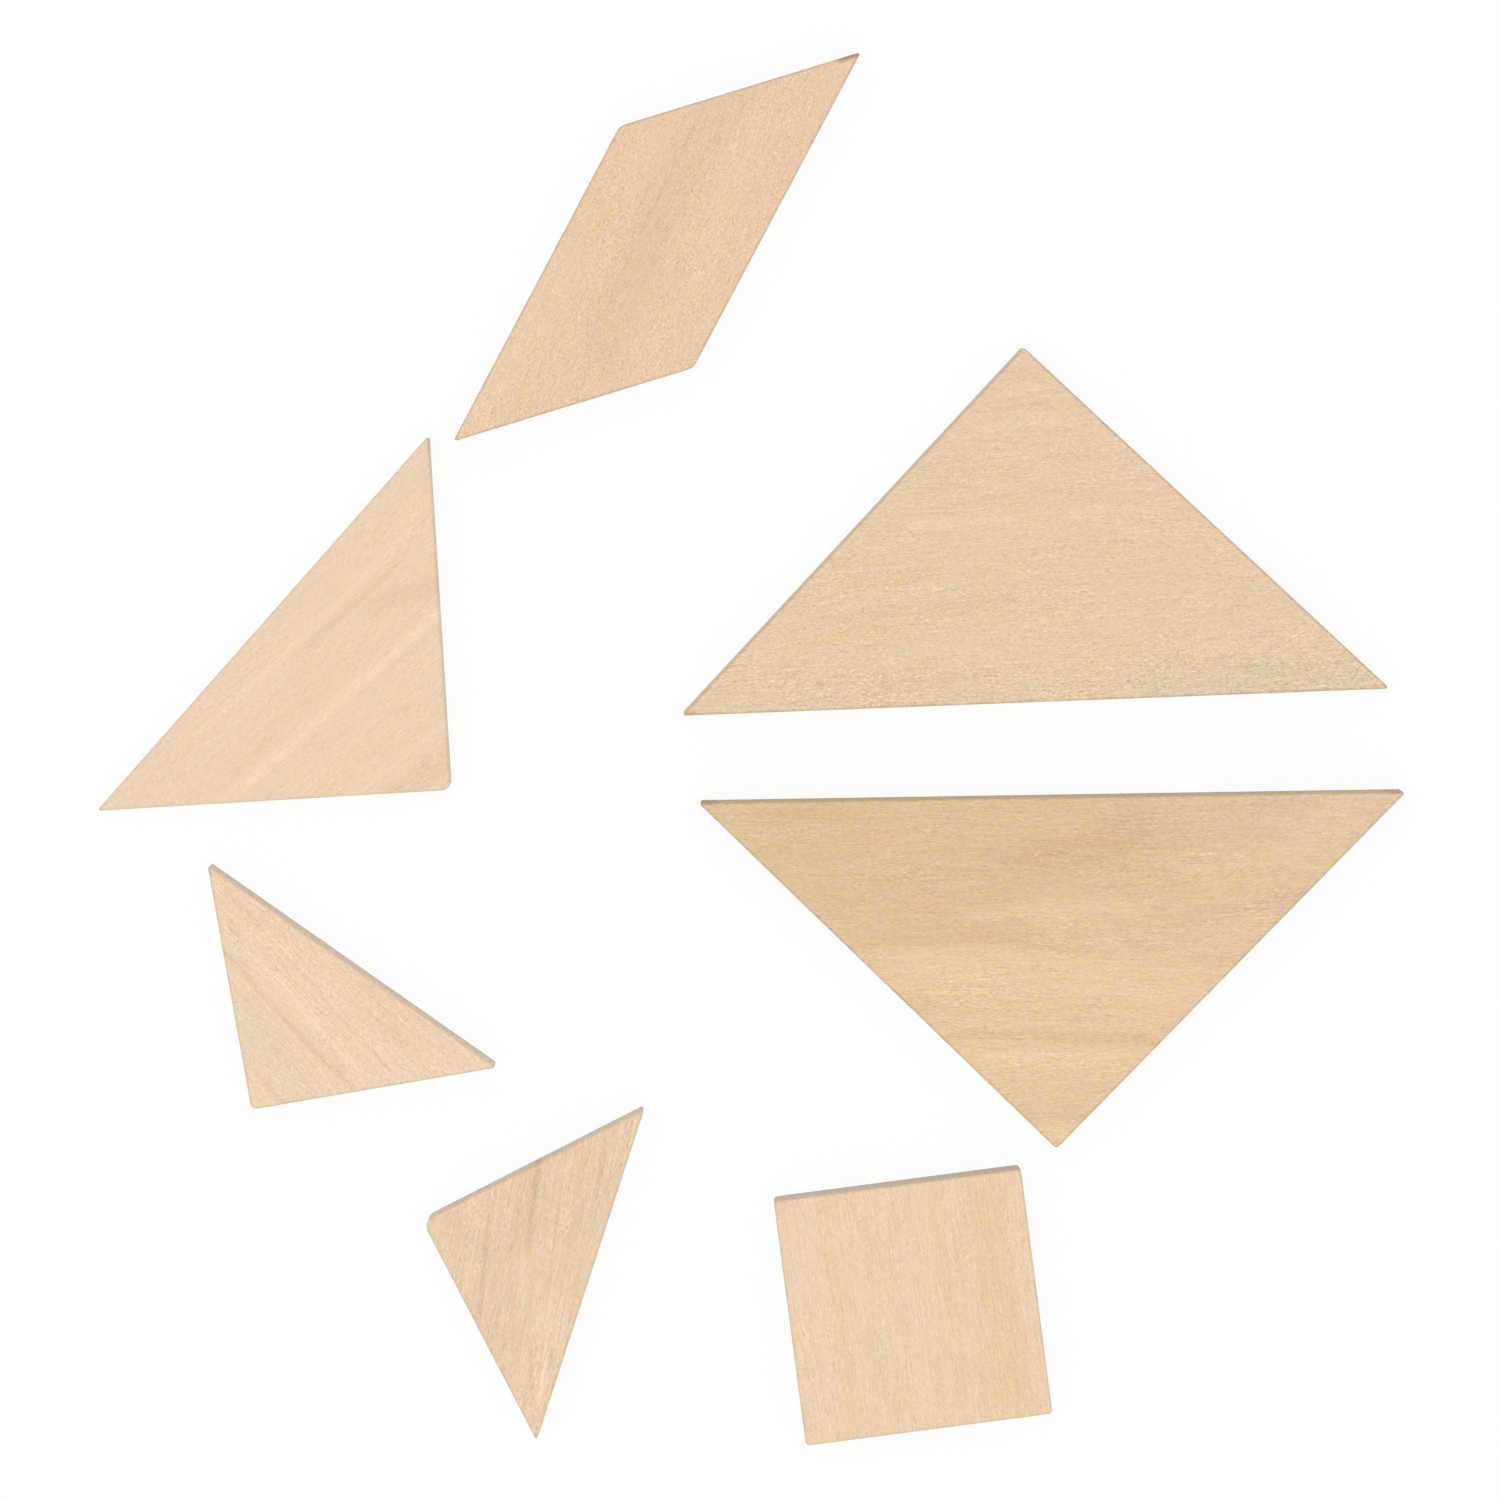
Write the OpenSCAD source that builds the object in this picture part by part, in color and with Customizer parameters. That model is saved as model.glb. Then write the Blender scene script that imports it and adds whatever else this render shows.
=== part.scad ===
// Tangram puzzle: seven flat wooden tiles, sawn from one square board and
// spread out on a table. The table is z = 0, and the origin is the middle of
// the rectangle that the layout takes up on it.

/* [Board] */
// Side of the square that the seven tiles make when they are put together
board_side = 100; // [60:1:200]
// Thickness of the board that the tiles are sawn from
board_t = 5; // [3:0.5:12]
// Play between two tiles that are laid side by side
play = 0.05; // [0:0.05:0.5]

/* [Edges] */
// Radius of the sanded edge round the top and the underside of a tile
edge_r = 0.2; // [0.1:0.05:0.25]

/* [Corners] */
// Radius of the sharp corners, of half a right angle
sharp_r = 0.25; // [0.25:0.05:1.5]
// Radius of the blunt corners of the parallelogram
blunt_r = 1.9; // [0.3:0.1:5]
// Radius of the right corner of both large triangles
large_right_r = 0.5; // [0.3:0.1:5]
// Radius of the right corner of the medium triangle
medium_right_r = 1.1; // [0.3:0.1:4]
// Radius of the right corner of the first small triangle
small_right_r = 0.8; // [0.3:0.1:3]
// Radius of the right corner of the second small triangle, which is worn round
worn_right_r = 1.6; // [0.3:0.1:3]
// Radius of the four corners of the square
square_r = 0.6; // [0.3:0.1:5]

/* [Layout] */
// How far the tiles are moved apart, as a multiple of the layout on the table
spread_factor = 1; // [1:0.05:2]

/* [Hidden] */
NODES = [
    "large_triangle_1",
    "large_triangle_2",
    "medium_triangle",
    "small_triangle_1",
    "small_triangle_2",
    "square_tile",
    "parallelogram"
];

// Segments of a full turn round a corner, and of the sanded edge. Both are a
// multiple of 8, so that an arc ends where the straight sides touch it.
corner_fn = 32;
edge_fn = 24;

// Legs of the three sizes of triangle: each is sqrt(2) times the one before.
// The small leg is also the side of the square.
small_leg = board_side / sqrt(8);
medium_leg = sqrt(2) * small_leg;
large_leg = 2 * small_leg;

// Colours of the wood, from the palest tile to the most yellow one
PALE = [0.93, 0.82, 0.71];
WARM = [0.91, 0.80, 0.68];
TAN = [0.89, 0.77, 0.64];

// The tiles in the order of NODES: the nominal outline about the tile's middle,
// counter-clockwise, the radius of each corner, the place of the tile's middle
// in board sides, and the tile's turn in degrees.
TILES = [
    [right_triangle(large_leg), [large_right_r, sharp_r, sharp_r], [0.395, 0.238], -132.8],
    [right_triangle(large_leg), [large_right_r, sharp_r, sharp_r], [0.428, -0.229], 45.9],
    [right_triangle(medium_leg), [medium_right_r, sharp_r, sharp_r], [-0.599, 0.104], 93.4],
    [right_triangle(small_leg), [small_right_r, sharp_r, sharp_r], [-0.610, -0.370], 9.8],
    [right_triangle(small_leg), [worn_right_r, sharp_r, sharp_r], [-0.306, -0.717], -62.9],
    [rhomboid(small_leg, 0), [for (i = [1:4]) square_r], [0.231, -0.789], 7.5],
    [rhomboid(small_leg, small_leg), [sharp_r, blunt_r, sharp_r, blunt_r], [-0.132, 0.710], 17.0]
];

// Half a square, with its right corner first
function right_triangle(leg) = [[-leg, -leg], [2 * leg, -leg], [-leg, 2 * leg]] / 3;

// A square of that side whose far edge is moved along by the shift
function rhomboid(side, shift) = [
    [-side - shift, -side],
    [side - shift, -side],
    [side + shift, side],
    [-side + shift, side]
] / 2;

// What a tile holds
function outline(tile) = tile[0];
function radius(tile, i) = tile[1][i];
function place(tile) = board_side * spread_factor * tile[2];
function turn(tile) = tile[3];
function corners(tile) = [0:len(outline(tile)) - 1];

// Edge i runs from corner i to the next one, with the outside on its right
function point(tile, i) = outline(tile)[i % len(outline(tile))];
function run(tile, i) = point(tile, i + 1) - point(tile, i);
function outward(tile, i) = [run(tile, i).y, -run(tile, i).x] / norm(run(tile, i));
function edge_before(tile, i) = i + len(outline(tile)) - 1;

// Centre of the arc that rounds corner i: inside both edges by its radius and half the play
function arc_centre(tile, i) =
    let (a = outward(tile, edge_before(tile, i)), b = outward(tile, i))
    point(tile, i) - (radius(tile, i) + play / 2) * (a + b) / (1 + a * b);

// How far the whole layout reaches along x, axis 0, or y, axis 1, one way or the other
function turned(v, a) = [v.x * cos(a) - v.y * sin(a), v.x * sin(a) + v.y * cos(a)];
function on_table(tile, v) = place(tile) + turned(v, turn(tile));
function reach(axis, way) = max([
    for (tile = TILES, i = corners(tile))
        way * on_table(tile, arc_centre(tile, i))[axis] + radius(tile, i)
]);
layout_middle = [reach(0, 1) - reach(0, -1), reach(1, 1) - reach(1, -1)] / 2;

// Ring that a corner's sanded edge belongs to: r is its outer radius
module edge_ring(r) {
    rotate_extrude($fn = corner_fn)
        intersection() {
            translate([r - edge_r, 0])
                circle(edge_r, $fn = edge_fn);
            translate([0, -edge_r])
                square([r, 2 * edge_r]);
        }
}

// The board that the tiles are sawn from, round its middle
module board() {
    linear_extrude(board_t)
        square(board_side, center = true);
}

// One tile at its place in the layout: the part of the board that lies between
// the rings of the tile's corners, at its underside and at its top
module tile_on_table(name) {
    tile = TILES[search([name], NODES)[0]];
    translate(place(tile) - layout_middle)
        rotate(turn(tile))
            intersection() {
                board();
                hull() {
                    for (i = corners(tile), z = [edge_r, board_t - edge_r])
                        translate([arc_centre(tile, i).x, arc_centre(tile, i).y, z])
                            edge_ring(radius(tile, i));
                }
            }
}

module large_triangle_1() {
    color(TAN)
        tile_on_table("large_triangle_1");
}

module large_triangle_2() {
    color(TAN)
        tile_on_table("large_triangle_2");
}

module medium_triangle() {
    color(PALE)
        tile_on_table("medium_triangle");
}

module small_triangle_1() {
    color(PALE)
        tile_on_table("small_triangle_1");
}

module small_triangle_2() {
    color(WARM)
        tile_on_table("small_triangle_2");
}

module square_tile() {
    color(PALE)
        tile_on_table("square_tile");
}

module parallelogram() {
    color(WARM)
        tile_on_table("parallelogram");
}

large_triangle_1();
large_triangle_2();
medium_triangle();
small_triangle_1();
small_triangle_2();
square_tile();
parallelogram();
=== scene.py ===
"""Tangram puzzle of seven bare wooden tiles, laid out loosely on a white table."""
import math
from typing import NamedTuple

import bpy
from mathutils import Matrix, Vector

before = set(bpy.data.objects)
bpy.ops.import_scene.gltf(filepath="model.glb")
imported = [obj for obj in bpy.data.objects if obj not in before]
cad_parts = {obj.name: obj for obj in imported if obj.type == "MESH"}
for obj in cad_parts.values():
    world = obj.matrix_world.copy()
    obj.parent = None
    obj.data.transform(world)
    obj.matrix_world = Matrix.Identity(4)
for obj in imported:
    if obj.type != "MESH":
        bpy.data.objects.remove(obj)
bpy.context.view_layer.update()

MM = 0.001

# Thickness of the tiles in millimetres
BOARD = 5.0

# Camera: a long lens nearly straight above the table, its foot a little beyond the middle
CAMERA_AT = Vector((-4.97, 63.94, 857.6)) * MM
CAMERA_AIM = Vector((-0.23, 0.36, 0.0)) * MM
CAMERA_LENS = 145.7
SENSOR_WIDTH = 36.0

# Light: an even world and one large soft lamp, in metres and watts
WORLD_LEVEL = 0.72
SOFTBOX_AT = (-0.15, -0.10, 1.6)
SOFTBOX_SIZE = 1.6
SOFTBOX_POWER = 9.6

# Table: half its side in metres, the colour that it gives to the light it bounces, and the share of
# plain white in what the camera sees of it, where the rest keeps the tiles' soft shadows
TABLE_REACH = 4.0
TABLE_COLOUR = (0.80, 0.80, 0.80)
TABLE_WHITE = 0.88
WHITE = (1.0, 1.0, 1.0)

# Share of the light on the table that falls on a side that stands upright
SIDE_LIGHT = 0.79

# Tints that the wood's colour is multiplied by
PLAIN = (1.0, 1.0, 1.0)
FLECK = (1.10, 1.12, 1.16)
PORE = (0.90, 0.88, 0.84)
END_GRAIN = (0.95, 0.94, 0.92)
# Painted shade that darkens the faces along their rounded rims
RIM_SHADE = (0.80, 0.78, 0.76)
# Painted shade that darkens the tips, where two rims meet
TIP_SHADE = (0.72, 0.70, 0.70)
LOW = (0.96, 0.985, 1.03)
HIGH = (1.04, 1.015, 0.97)

# Tints of the streaks
UMBER = (0.93, 0.905, 0.875)
SEAM = (0.91, 0.875, 0.835)
SOILED = (0.60, 0.53, 0.46)
RUST = (0.97, 0.93, 0.905)
PINK = (1.02, 0.985, 0.985)
OLIVE = (1.0, 0.975, 0.92)
TEAL = (0.94, 0.985, 0.99)
DUSK = (0.96, 0.955, 1.02)
LILAC = (1.01, 1.03, 1.09)
PALE = (1.07, 1.09, 1.10)


class Layer(NamedTuple):
    """One layer of noise in the wood.

    Its number keeps it apart from the other layers of its tile. Its lumps measure size in millimetres:
    along the grain, across it and down into the board. Detail and roughness are those of Blender's
    noise. A layer that changes the colour does so by its depth, times its channels for red, green and
    blue.
    """

    number: int
    size: tuple
    detail: float = 1.0
    roughness: float = 0.6
    depth: float = 1.0
    channels: tuple = PLAIN


# The fibres are as long as their tile says
FIBRE_NUMBER = 5
FIBRE_WIDTH = 0.16
FIBRE_DEPTH = 0.45
FIBRE_CHANNELS = (0.85, 1.0, 1.2)

WANDER = Layer(0, (30.0, 12.0, 12.0), detail=2.0, roughness=0.4)
WIDE_BANDS = Layer(1, (90.0, 3.2, 6.0), channels=(0.06, 0.09, 0.12))
NARROW_BANDS = Layer(2, (34.0, 0.7, 1.2), channels=(0.03, 0.04, 0.05))
RED_PATCHES = Layer(3, (4.0, 1.1, 1.8), channels=(0.10, -0.12, -0.03))
YELLOW_PATCHES = Layer(4, (2.5, 1.1, 1.2), channels=(0.03, -0.01, -0.28))
LINES = Layer(6, (5.0, 0.17, 0.3), depth=0.21, channels=FIBRE_CHANNELS)
FLECKS = Layer(7, (0.8, 0.17, 0.17), detail=0.0, roughness=0.5)
PORES = Layer(8, (1.3, 0.14, 0.14), detail=0.0, roughness=0.5)
SAW_MARKS = Layer(9, (0.35, 0.35, 7.0), depth=0.3)
STRENGTH = Layer(10, (12.0, 5.0, 6.0), roughness=0.5)
# Noise that varies the strength of the painted shade along the rims
RIM_SHADE_NOISE = Layer(11, (1.5, 1.5, 4.0), roughness=0.5)

# How far apart the noises of two seeds lie along and across the grain, in lumps
SEED_STEP = (7.3, 3.1)

# Values that most of a noise lies between, those of the wander, and those from which the single
# flecks and pores rise
MOST = (0.3, 0.7)
MOST_WANDER = (0.25, 0.75)
FLECK_RISE = (0.68, 0.84)
PORE_RISE = (0.68, 0.82)

# Most that the grain wanders off its straight line, in millimetres, and the streaks' share of it
WANDER_REACH = 0.8
STREAK_WOBBLE = 0.4

# Least and most strength of the fibres and lines, what the crackle adds to it, and how much their
# large swings are enlarged
STRENGTHS = (0.8, 1.2)
CRACKLE_STRENGTH = 0.5
SHARPNESS = 3.5

# Shares of a streak's half width, and of its length from the middle, between which its hue fades
FADE_BESIDE = (0.3, 1.1)
FADE_AHEAD = (0.32, 0.52)

# Depth in millimetres over which the painted rim shade fades from a side, and least and most of that shade
# along the rim
RIM_SHADE_DEPTH = (0.05, 0.45)
RIM_SHADE_RANGE = (0.6, 1.3)

# A side passes into a face between these heights of its normal, and into end grain between these
# shares of the normal that lie along the grain
SIDE_TO_FACE = (0.2, 0.8)
END_GRAIN_TURN = (0.5, 1.0)

# Roughness from the lowest to the highest fibres, which swing this far, and the relief: how deep the
# pores are against the fibres, its strength and its height in millimetres
FIBRE_SWING = 0.3
ROUGHNESS = (0.56, 0.70)
PORE_RELIEF = -0.5
BUMP_STRENGTH = 0.3
BUMP_HEIGHT = 0.04

# Gloss of bare wood
SPECULAR = 0.25
IOR = 1.45

# A long side of a tile: how nearly upright its faces stand, the least area of one in square
# millimetres, and how nearly two of them point the same way
UPRIGHT = 0.01
LEAST_AREA = 10
SAME_WAY = 0.99

# Places of the colour sockets among those of the Mix node
MIX_FIRST, MIX_SECOND, MIX_RESULT = 6, 7, 2


def srgb(red, green, blue):
    """A colour as a picture shows it, 0 to 255, in the linear values that a shader takes."""
    def linear(value):
        share = value / 255
        return share / 12.92 if share <= 0.04045 else ((share + 0.055) / 1.055) ** 2.4
    return tuple(linear(value) for value in (red, green, blue))


class Graph:
    """Adds nodes to a material or a world. Inputs may be numbers, tuples or other nodes' outputs.

    The seed keeps the noises of one material apart from those of the others.
    """

    def __init__(self, tree, seed=0):
        self.tree = tree
        self.seed = seed
        tree.nodes.clear()

    def add(self, kind, inputs=(), **settings):
        """A new node, with its settings made before its inputs are fed by name or place."""
        node = self.tree.nodes.new(kind)
        for name, value in settings.items():
            setattr(node, name, value)
        for key, value in dict(inputs).items():
            self.feed(node.inputs[key], value)
        return node

    def feed(self, socket, value):
        """Links another node's output to the socket, or sets the socket's own value."""
        if isinstance(value, bpy.types.NodeSocket):
            self.tree.links.new(value, socket)
        elif socket.type == "RGBA" and len(value) == 3:
            socket.default_value = (*value, 1.0)
        else:
            socket.default_value = value

    def math(self, operation, *values, clamp=False):
        node = self.add("ShaderNodeMath", enumerate(values), operation=operation, use_clamp=clamp)
        return node.outputs[0]

    def vector(self, operation, *values):
        node = self.add("ShaderNodeVectorMath", enumerate(values), operation=operation)
        return node.outputs["Value" if operation == "DOT_PRODUCT" else "Vector"]

    def split(self, vector):
        return self.add("ShaderNodeSeparateXYZ", {"Vector": vector}).outputs

    def ramp(self, value, low, high, to_low=0.0, to_high=1.0):
        """The value carried smoothly from low..high to to_low..to_high, and held beyond them."""
        inputs = {"Value": value, "From Min": low, "From Max": high, "To Min": to_low, "To Max": to_high}
        return self.add("ShaderNodeMapRange", inputs, interpolation_type="SMOOTHSTEP").outputs["Result"]

    def noise(self, where, layer):
        """The layer's noise, which the tiles' upper faces cut halfway between two sheets of its lattice."""
        seed = self.seed + layer.number
        scale = tuple(1 / value for value in layer.size)
        start = (seed * SEED_STEP[0], seed * SEED_STEP[1], seed + 0.5 - BOARD / layer.size[2])
        inputs = {"Vector": self.vector("MULTIPLY_ADD", where, scale, start), "Scale": 1.0,
                  "Detail": layer.detail, "Roughness": layer.roughness}
        return self.add("ShaderNodeTexNoise", inputs, noise_dimensions="3D").outputs["Fac"]

    def swing(self, where, layer):
        """The layer's noise, from below 0 to above it."""
        return self.math("SUBTRACT", self.noise(where, layer), 0.5)

    def sharpened(self, swing):
        """The swing with its large values enlarged."""
        size = self.math("ABSOLUTE", swing)
        return self.math("MULTIPLY", swing, self.math("MULTIPLY_ADD", size, SHARPNESS, 1.0))

    def mix(self, factor, first, second, blend="MIX"):
        inputs = {"Factor": factor, MIX_FIRST: first, MIX_SECOND: second}
        node = self.add("ShaderNodeMix", inputs, data_type="RGBA", blend_type=blend, clamp_factor=True)
        return node.outputs[MIX_RESULT]

    def vary(self, colour, swing, layer, amount=1.0):
        """The colour times 1 plus the swing, by the layer's depth and channels."""
        weights = tuple(layer.depth * amount * channel for channel in layer.channels)
        return self.vector("MULTIPLY", colour, self.vector("MULTIPLY_ADD", swing, weights, PLAIN))

    def tint(self, colour, amount, tint, otherwise=PLAIN):
        """The colour times the tint where the amount is 1, and times the other one where it is 0."""
        return self.mix(1.0, colour, self.mix(amount, otherwise, tint), "MULTIPLY")


class Streak:
    """One streak of a tile's figure, between two points of the frame in millimetres.

    Its hue shows to the given amount on its line and dies away over about half_width to either side,
    and bend is how far its middle lies to the left of the straight line from start to end.
    """

    def __init__(self, hue, start, end, half_width, amount, bend=0.0):
        self.hue = hue
        self.start = Vector((*start, 0.0))
        self.run = Vector((*end, 0.0)) - self.start
        self.half_width = half_width
        self.amount = amount
        self.bend = bend

    def mask(self, graph, place, wobble):
        """How much of the hue shows at a place: the amount on the line, none beside it or past its ends."""
        length = self.run.length
        ahead = self.run / length
        left = Vector((-ahead.y, ahead.x, 0.0))
        offset = graph.vector("SUBTRACT", place, tuple(self.start))
        along = graph.math("DIVIDE", graph.vector("DOT_PRODUCT", offset, tuple(ahead)), length)
        across = graph.math("ADD", graph.vector("DOT_PRODUCT", offset, tuple(left)), wobble)
        if self.bend:
            # A parabola: nothing at both ends, and all of the bend in the middle
            rise = graph.math("MULTIPLY", along, graph.math("SUBTRACT", 1.0, along))
            across = graph.math("SUBTRACT", across, graph.math("MULTIPLY", rise, 4 * self.bend))
        fade_from, fade_to = (share * self.half_width for share in FADE_BESIDE)
        beside = graph.ramp(graph.math("ABSOLUTE", across), fade_from, fade_to, self.amount, 0.0)
        from_middle = graph.math("ABSOLUTE", graph.math("SUBTRACT", along, 0.5))
        return graph.math("MULTIPLY", beside, graph.ramp(from_middle, *FADE_AHEAD, 1.0, 0.0))


class Wood:
    """How one tile's wood differs from the others'.

    face and side are the colours seen on its top and on its sides, and grain is the turn of the grain
    in degrees. Band, line and rim shade are the amounts of its soft bands, of its long thin lines and of
    the painted shade along its rims. Its short fibres have a length in millimetres and an amount, and its
    hue changes by one amount towards red and by another towards yellow. The fibres and lines are stronger
    along the crackle, if there is one.
    """

    def __init__(self, face, side, grain, seed, streaks, band, fibre, line, hue, rim_shade, crackle=None):
        self.face = srgb(*face)
        self.side = srgb(*side)
        self.grain = math.radians(grain)
        self.seed = seed
        self.streaks = streaks
        self.band = band
        fibre_length, self.fibre = fibre
        self.fibres = Layer(FIBRE_NUMBER, (fibre_length, FIBRE_WIDTH, FIBRE_WIDTH), detail=0.0,
                            depth=FIBRE_DEPTH, channels=FIBRE_CHANNELS)
        self.line = line
        self.red, self.yellow = hue
        self.rim_shade = rim_shade
        self.crackle = crackle


def long_sides(tile):
    """The outward normal of each long side of a tile, and how far out its plane lies in millimetres."""
    sides = []
    for face in tile.data.polygons:
        upright = abs(face.normal.z) < UPRIGHT and face.area > LEAST_AREA * MM * MM
        if upright and not any(face.normal.dot(normal) > SAME_WAY for normal, _ in sides):
            sides.append((face.normal.copy(), face.normal.dot(face.center) / MM))
    return sides


def shaded_edges(graph, wood, place, sides):
    """Painted shade near the edges: along the rims, near one side of the tile, and on its tips, near two of
    them.
    """
    near = 0.0
    for normal, reach in sides:
        depth = graph.math("SUBTRACT", reach, graph.vector("DOT_PRODUCT", place, tuple(normal)))
        near = graph.math("ADD", near, graph.ramp(depth, *RIM_SHADE_DEPTH, 1.0, 0.0))
    rim_shade_strength = graph.ramp(graph.noise(place, RIM_SHADE_NOISE), *MOST, *(share * wood.rim_shade for share in RIM_SHADE_RANGE))
    rim_shade = graph.math("MULTIPLY", graph.math("MINIMUM", near, 1.0), rim_shade_strength)
    tip_shade = graph.math("SUBTRACT", near, 1.0, clamp=True)
    return rim_shade, tip_shade


def sawn_colour(graph, wood, colour, place, normal):
    """The colour on the sawn sides: greyer than the faces, most of all low down, and darker on end grain."""
    greyer = tuple(side / face / SIDE_LIGHT for side, face in zip(wood.side, wood.face))
    colour = graph.tint(colour, 1.0, greyer)
    colour = graph.tint(colour, graph.ramp(graph.split(place)["Z"], 0.0, BOARD), HIGH, LOW)
    along_grain = (math.cos(wood.grain), math.sin(wood.grain), 0.0)
    facing = graph.math("ABSOLUTE", graph.vector("DOT_PRODUCT", normal, along_grain))
    colour = graph.tint(colour, graph.ramp(facing, *END_GRAIN_TURN), END_GRAIN)
    return graph.vary(colour, graph.swing(place, SAW_MARKS), SAW_MARKS)


def wood_material(name, wood, sides):
    """Bare basswood, sanded: a solid texture, so that the sides show the same fibres as the face."""
    material = bpy.data.materials.new(name)
    material.use_nodes = True
    graph = Graph(material.node_tree, wood.seed)

    # Millimetres in the frame of the part, and the same turned so that x runs along the grain
    place = graph.vector("MULTIPLY", graph.add("ShaderNodeTexCoord").outputs["Object"], (1 / MM,) * 3)
    turn = {"Vector": place, "Angle": -wood.grain}
    grain = graph.add("ShaderNodeVectorRotate", turn, rotation_type="Z_AXIS").outputs[0]

    # The grain wanders a little off its straight line
    wander = graph.ramp(graph.noise(grain, WANDER), *MOST_WANDER, -WANDER_REACH, WANDER_REACH)
    shift = graph.add("ShaderNodeCombineXYZ", {"Y": wander}).outputs[0]
    drawn = graph.vector("ADD", grain, shift)

    # Growth rings: soft bands, the lines within them, and their change of hue
    colour = wood.face
    for layer, amount in ((WIDE_BANDS, wood.band), (NARROW_BANDS, wood.band),
                          (RED_PATCHES, wood.red), (YELLOW_PATCHES, wood.yellow)):
        colour = graph.vary(colour, graph.swing(drawn, layer), layer, amount)

    # The figure that this tile shows
    wobble = graph.math("MULTIPLY", wander, STREAK_WOBBLE)
    for streak in wood.streaks:
        colour = graph.tint(colour, streak.mask(graph, place, wobble), streak.hue)

    # Short fibres and long thin lines, a little stronger here and there, with single sharp ones
    strength = graph.ramp(graph.noise(drawn, STRENGTH), *MOST, *STRENGTHS)
    if wood.crackle:
        crackle = graph.math("MULTIPLY", wood.crackle.mask(graph, place, wobble), CRACKLE_STRENGTH)
        strength = graph.math("ADD", strength, crackle)
    fibre = graph.math("MULTIPLY", graph.sharpened(graph.swing(drawn, wood.fibres)), strength)
    colour = graph.vary(colour, fibre, wood.fibres, wood.fibre)
    line = graph.math("MULTIPLY", graph.sharpened(graph.swing(drawn, LINES)), strength)
    colour = graph.vary(colour, line, LINES, wood.line)
    colour = graph.tint(colour, graph.ramp(graph.noise(drawn, FLECKS), *FLECK_RISE), FLECK)
    pore = graph.ramp(graph.noise(drawn, PORES), *PORE_RISE)
    colour = graph.tint(colour, pore, PORE)

    # Faces with painted shade along their rims, sawn sides, and painted shade on the tips of both
    rim_shade, tip_shade = shaded_edges(graph, wood, place, sides)
    normal = graph.add("ShaderNodeNewGeometry").outputs["Normal"]
    sawn = graph.ramp(graph.math("ABSOLUTE", graph.split(normal)["Z"]), *SIDE_TO_FACE, 1.0, 0.0)
    side_colour = sawn_colour(graph, wood, colour, place, normal)
    colour = graph.mix(sawn, graph.tint(colour, rim_shade, RIM_SHADE), side_colour)
    # Painted shade on the tips
    colour = graph.tint(colour, tip_shade, TIP_SHADE)

    roughness = graph.ramp(fibre, -FIBRE_SWING, FIBRE_SWING, *ROUGHNESS)
    height = graph.math("MULTIPLY_ADD", pore, PORE_RELIEF, fibre)
    bump = graph.add("ShaderNodeBump", {"Height": height, "Strength": BUMP_STRENGTH,
                                        "Distance": BUMP_HEIGHT * MM})
    shader = graph.add("ShaderNodeBsdfPrincipled", {
        "Base Color": colour, "Roughness": roughness, "Normal": bump.outputs[0],
        "Specular IOR Level": SPECULAR, "IOR": IOR})
    graph.add("ShaderNodeOutputMaterial", {"Surface": shader.outputs[0]})
    return material


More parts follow.
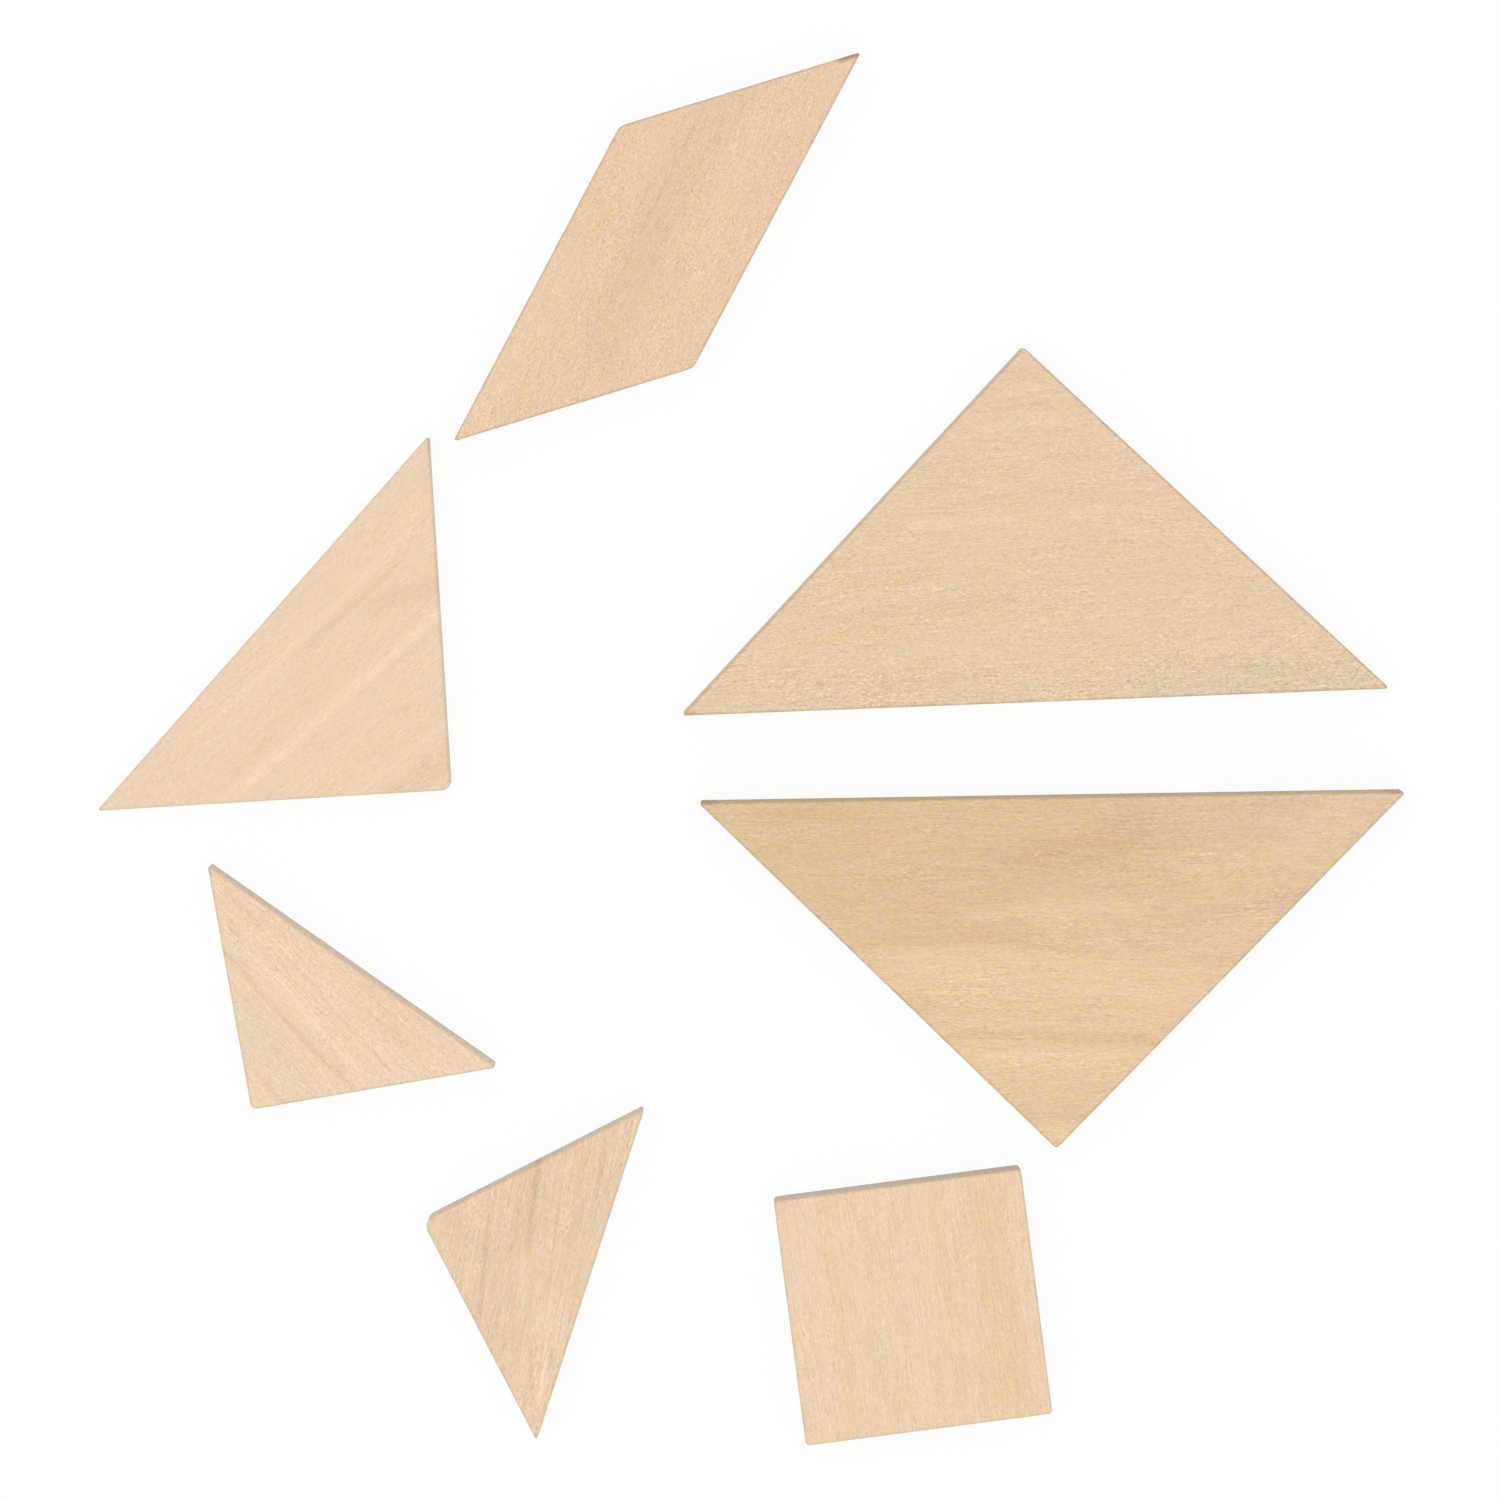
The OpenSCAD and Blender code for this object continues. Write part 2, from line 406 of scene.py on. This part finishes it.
# The wood of each tile, with the streaks that the photo shows on it
WOODS = {
    "large_triangle_1": Wood(
        face=(230, 202, 169), side=(204, 187, 166), grain=2.5, seed=1,
        band=0.5, fibre=(0.40, 0.55), line=0.8, hue=(0.9, 0.9), rim_shade=1.4,
        streaks=[
            Streak(PINK, (2.0, 22.0), (66.0, 32.0), 15.0, 0.7),
            Streak(SOILED, (-11.6, 5.2), (-7.8, 6.6), 0.5, 0.35),
            Streak(DUSK, (35.2, 53.3), (40.7, 53.8), 1.7, 0.6),
            Streak(RUST, (32.7, 48.2), (42.9, 49.5), 1.0, 0.5),
            Streak(PALE, (29.5, 46.0), (46.7, 47.1), 0.7, 0.5),
            Streak(PINK, (26.4, 42.1), (50.9, 43.6), 1.4, 0.5),
            Streak(OLIVE, (23.9, 37.6), (37.6, 40.7), 0.9, 0.7),
            Streak(RUST, (32.7, 36.3), (52.4, 37.7), 0.7, 0.5),
            Streak(PALE, (17.3, 32.2), (63.6, 35.2), 1.1, 0.35),
            Streak(OLIVE, (14.5, 27.3), (34.8, 30.8), 1.1, 0.5),
            Streak(PINK, (32.7, 26.8), (61.6, 30.1), 2.0, 0.5),
            Streak(OLIVE, (8.4, 23.8), (36.5, 26.3), 1.0, 0.9),
            Streak(TEAL, (22.9, 23.0), (70.7, 25.8), 1.1, 0.5),
            Streak(RUST, (6.0, 18.7), (42.6, 22.5), 1.1, 0.7),
            Streak(OLIVE, (1.8, 14.2), (34.9, 21.4), 1.1, 1.0),
            Streak(OLIVE, (31.4, 19.3), (59.5, 21.8), 1.0, 0.7),
            Streak(PINK, (43.3, 18.2), (73.6, 21.8), 1.7, 0.4),
            Streak(TEAL, (-8.0, 7.6), (88.0, 11.7), 3.6, 0.4),
            Streak(TEAL, (50.0, 11.0), (100.0, 12.4), 4.0, 0.8)],
        crackle=Streak(TEAL, (-8.0, 7.6), (96.0, 12.0), 5.0, 1.0)),
    "large_triangle_2": Wood(
        face=(226, 195, 157), side=(188, 165, 138), grain=0.5, seed=2,
        band=0.55, fibre=(0.50, 0.50), line=1.0, hue=(0.5, 0.7), rim_shade=0.9,
        streaks=[
            Streak(SOILED, (-9.5, -6.5), (-4.5, -6.6), 0.6, 0.5),
            Streak(SOILED, (94.0, -4.9), (89.0, -5.2), 0.6, 0.4),
            Streak(UMBER, (-8.0, -11.0), (66.0, -13.0), 10.0, 0.55),
            Streak(UMBER, (4.0, -21.0), (42.0, -23.5), 4.5, 0.5),
            Streak(UMBER, (29.0, -19.5), (59.0, -9.0), 4.0, 0.5),
            Streak(DUSK, (48.0, -10.0), (82.0, -8.0), 4.4, 0.7),
            Streak(LILAC, (72.0, -10.0), (100.0, -7.5), 7.0, 0.8),
            Streak(RUST, (-2.4, -8.5), (15.2, -8.1), 1.4, 0.7),
            Streak(RUST, (16.0, -18.6), (33.6, -16.0), 1.1, 0.5),
            Streak(RUST, (12.0, -26.5), (42.0, -26.2), 1.3, 1.0),
            Streak(DUSK, (60.0, -22.4), (80.0, -20.1), 1.0, 0.8),
            Streak(PALE, (27.0, -22.8), (58.0, -21.0), 1.5, 0.6),
            Streak(LILAC, (44.0, -27.0), (76.0, -26.0), 3.4, 0.4),
            Streak(PALE, (14.0, -30.2), (70.0, -33.5), 4.8, 0.8),
            Streak(LILAC, (35.1, -33.9), (61.2, -33.3), 0.7, 0.6),
            Streak(PALE, (22.0, -42.0), (64.0, -42.0), 9.0, 0.5),
            Streak(UMBER, (25.0, -39.2), (61.0, -40.6), 1.3, 0.9),
            Streak(PALE, (30.0, -43.1), (59.0, -42.6), 1.4, 0.7),
            Streak(PALE, (36.0, -53.6), (50.0, -53.6), 2.0, 0.9)]),
    "medium_triangle": Wood(
        face=(235, 208, 178), side=(214, 196, 175), grain=44.0, seed=3,
        band=0.7, fibre=(0.40, 0.32), line=0.4, hue=(0.8, 0.55), rim_shade=0.4,
        streaks=[
            Streak(SOILED, (-44.9, 46.2), (-45.4, 42.4), 0.6, 0.3),
            Streak(PALE, (-76.0, -7.8), (-38.0, 24.8), 1.25, 0.85),
            Streak(LILAC, (-88.0, -9.6), (-62.0, 15.5), 1.4, 0.5),
            Streak(PALE, (-82.0, -1.0), (-44.0, 35.3), 0.8, 0.55),
            Streak(RUST, (-64.0, 14.2), (-49.0, 27.4), 0.7, 1.0),
            Streak(RUST, (-56.0, 20.0), (-41.0, 25.0), 2.2, 0.7),
            Streak(PINK, (-72.0, 1.0), (-54.0, 17.0), 3.0, 0.6),
            Streak(PINK, (-65.1, -5.7), (-44.5, 9.8), 3.1, 0.6),
            Streak(PALE, (-60.0, -8.5), (-38.0, 8.0), 0.9, 0.5),
            Streak(RUST, (-52.0, -8.0), (-40.0, 2.4), 2.4, 1.0),
            Streak(TEAL, (-52.9, 33.8), (-45.2, 42.2), 2.0, 0.4)]),
    "small_triangle_1": Wood(
        face=(237, 210, 180), side=(207, 190, 170), grain=134.0, seed=4,
        band=0.8, fibre=(0.35, 0.49), line=0.7, hue=(0.75, 0.5), rim_shade=0.6,
        streaks=[
            Streak(SOILED, (-77.6, -14.0), (-76.2, -17.2), 0.7, 0.5),
            Streak(SEAM, (-75.6, -17.0), (-47.5, -49.0), 0.45, 0.5),
            Streak(SEAM, (-77.5, -24.0), (-54.5, -50.0), 0.6, 0.8),
            Streak(RUST, (-74.7, -18.0), (-64.5, -27.6), 1.0, 0.4),
            Streak(RUST, (-58.2, -34.2), (-45.8, -43.6), 1.7, 0.5),
            Streak(TEAL, (-75.0, -32.0), (-62.0, -50.0), 4.0, 0.8),
            Streak(RUST, (-76.0, -15.0), (-40.0, -43.0), 5.0, 0.4),
            Streak(SEAM, (-73.5, -40.5), (-64.5, -51.5), 0.6, 0.5),
            Streak(PALE, (-72.9, -24.8), (-52.9, -47.8), 0.9, 0.5)]),
    "small_triangle_2": Wood(
        face=(232, 204, 172), side=(203, 187, 168), grain=78.0, seed=5,
        band=0.6, fibre=(0.50, 0.52), line=1.2, hue=(1.0, 0.9), rim_shade=0.5,
        streaks=[
            Streak(SEAM, (-29.9, -53.0), (-32.3, -72.5), 0.6, 0.9),
            Streak(SEAM, (-36.9, -62.0), (-38.8, -82.0), 0.45, 0.8),
            Streak(RUST, (-34.5, -67.5), (-33.9, -85.4), 0.5, 0.7),
            Streak(SEAM, (-26.6, -58.0), (-30.8, -92.0), 0.4, 0.8),
            Streak(RUST, (-23.2, -54.0), (-26.6, -76.8), 1.1, 0.6),
            Streak(UMBER, (-20.3, -54.7), (-23.8, -69.7), 0.6, 0.6),
            Streak(TEAL, (-42.7, -64.4), (-39.6, -72.5), 1.7, 0.6),
            Streak(UMBER, (-31.0, -55.0), (-33.0, -72.0), 2.5, 0.5),
            Streak(DUSK, (-36.5, -64.0), (-38.5, -88.0), 2.4, 0.45),
            Streak(TEAL, (-20.0, -50.0), (-23.0, -70.0), 2.5, 0.5),
            Streak(PALE, (-26.5, -68.0), (-31.0, -96.0), 2.2, 0.25),
            Streak(PALE, (-28.5, -75.4), (-30.5, -93.0), 0.9, 0.9),
            Streak(UMBER, (-31.6, -81.1), (-31.2, -92.6), 0.6, 0.7),
            Streak(PALE, (-32.3, -67.5), (-32.9, -81.8), 0.7, 0.6)]),
    "square_tile": Wood(
        face=(235, 206, 173), side=(196, 180, 163), grain=98.5, seed=6,
        band=0.35, fibre=(0.40, 0.40), line=0.9, hue=(0.8, 0.85), rim_shade=0.5,
        streaks=[
            Streak(LILAC, (5.8, -60.0), (11.8, -100.0), 4.0, 0.6),
            Streak(OLIVE, (9.0, -60.0), (15.0, -99.0), 1.5, 0.8),
            Streak(TEAL, (15.6, -62.5), (19.2, -92.6), 0.7, 0.7),
            Streak(PINK, (18.7, -61.8), (23.3, -94.0), 1.7, 0.4),
            Streak(LILAC, (21.6, -68.3), (24.9, -95.9), 1.1, 0.6),
            Streak(OLIVE, (24.8, -59.0), (30.6, -97.0), 1.5, 0.7),
            Streak(OLIVE, (32.0, -57.0), (37.6, -98.0), 4.2, 0.7),
            Streak(UMBER, (31.5, -58.0), (37.0, -98.0), 4.5, 0.25),
            Streak(PINK, (35.6, -59.7), (40.2, -92.6), 1.3, 0.4)]),
    "parallelogram": Wood(
        face=(232, 201, 168), side=(200, 180, 155), grain=66.0, seed=7,
        band=0.3, fibre=(0.26, 0.66), line=0.5, hue=(0.5, 1.15), rim_shade=1.0,
        streaks=[
            Streak(SOILED, (16.5, 99.0), (11.5, 97.4), 0.7, 0.9),
            Streak(UMBER, (0.5, 98.0), (-23.5, 50.0), 4.6, 0.4, bend=-2.4),
            Streak(DUSK, (0.5, 98.0), (-23.5, 50.0), 4.6, 0.25, bend=-2.4),
            Streak(SEAM, (-6.8, 91.0), (-21.0, 62.5), 0.3, 0.45),
            Streak(OLIVE, (-15.4, 85.5), (-21.6, 73.2), 0.6, 0.8),
            Streak(OLIVE, (-24.4, 70.9), (-27.5, 65.7), 1.0, 0.7),
            Streak(LILAC, (-13.3, 87.6), (-21.6, 75.3), 0.9, 0.7),
            Streak(PALE, (-24.5, 73.0), (-41.0, 42.0), 3.4, 0.4),
            Streak(PALE, (1.8, 91.8), (-9.3, 62.5), 2.4, 0.25),
            Streak(UMBER, (-9.0, 83.0), (-17.0, 64.0), 2.4, 0.25)]),
}


def dress_tiles():
    """Gives each tile of the frame the wood of its own."""
    for name, wood in WOODS.items():
        tile = bpy.data.objects[name]
        material = wood_material(name + "_wood", wood, long_sides(tile))
        for slot in tile.material_slots:
            slot.material = material


def add_object(name, data):
    """A new object in the scene that shows the data."""
    item = bpy.data.objects.new(name, data)
    bpy.context.scene.collection.objects.link(item)
    return item


def seen_plainly(graph):
    """1 for the rays that see plain white: the camera's, and those that reflect or pass through."""
    path = graph.add("ShaderNodeLightPath").outputs
    indirect = graph.math("MAXIMUM", path["Is Glossy Ray"], path["Is Transmission Ray"])
    return graph.math("MAXIMUM", path["Is Camera Ray"], indirect)


def table_material():
    """White to the camera, and a plain pale table to the light that bounces off it."""
    material = bpy.data.materials.new("table")
    material.use_nodes = True
    graph = Graph(material.node_tree)
    seen = seen_plainly(graph)
    colour = graph.mix(seen, TABLE_COLOUR, WHITE)
    paper = graph.add("ShaderNodeBsdfDiffuse", {"Color": colour}).outputs[0]
    white = graph.add("ShaderNodeEmission", {"Color": WHITE, "Strength": 1.0}).outputs[0]
    share = graph.math("MULTIPLY", seen, TABLE_WHITE)
    shader = graph.add("ShaderNodeMixShader", enumerate((share, paper, white)))
    graph.add("ShaderNodeOutputMaterial", {"Surface": shader.outputs[0]})
    return material


def add_table():
    """A square table top under the tiles, far wider than the camera's view."""
    corners = [(x * TABLE_REACH, y * TABLE_REACH, 0.0) for x, y in ((-1, -1), (1, -1), (1, 1), (-1, 1))]
    mesh = bpy.data.meshes.new("table")
    mesh.from_pydata(corners, [], [(0, 1, 2, 3)])
    mesh.materials.append(table_material())
    table = add_object("table", mesh)


def add_world():
    """Even white light from all round, where the camera and reflections see plain white."""
    world = bpy.data.worlds.new("studio")
    world.use_nodes = True
    bpy.context.scene.world = world
    graph = Graph(world.node_tree)
    rest = graph.math("MULTIPLY", seen_plainly(graph), 1.0 - WORLD_LEVEL)
    strength = graph.math("ADD", WORLD_LEVEL, rest)
    light = graph.add("ShaderNodeBackground", {"Color": WHITE, "Strength": strength})
    graph.add("ShaderNodeOutputWorld", {"Surface": light.outputs[0]})


def add_softbox():
    """A square lamp that looks at the middle of the layout."""
    lamp = bpy.data.lights.new("softbox", "AREA")
    lamp.shape = "SQUARE"
    lamp.size = SOFTBOX_SIZE
    lamp.energy = SOFTBOX_POWER
    softbox = add_object("softbox", lamp)
    softbox.location = SOFTBOX_AT
    softbox.rotation_euler = (-Vector(SOFTBOX_AT)).to_track_quat("-Z", "Y").to_euler()


def add_camera():
    """Looks from CAMERA_AT to CAMERA_AIM, with +X to the right of the picture."""
    camera = bpy.data.cameras.new("camera")
    camera.lens = CAMERA_LENS
    camera.sensor_width = SENSOR_WIDTH
    camera.clip_start = 0.01
    camera.clip_end = 20.0
    holder = add_object("camera", camera)
    backward = (CAMERA_AT - CAMERA_AIM).normalized()
    right = (Vector((1, 0, 0)) - backward * backward.x).normalized()
    up = backward.cross(right)
    turn = Matrix((right, up, backward)).transposed().to_4x4()
    holder.matrix_world = Matrix.Translation(CAMERA_AT) @ turn
    bpy.context.scene.camera = holder


bpy.context.scene.view_settings.view_transform = "Standard"
add_camera()
add_table()
add_world()
add_softbox()
dress_tiles()
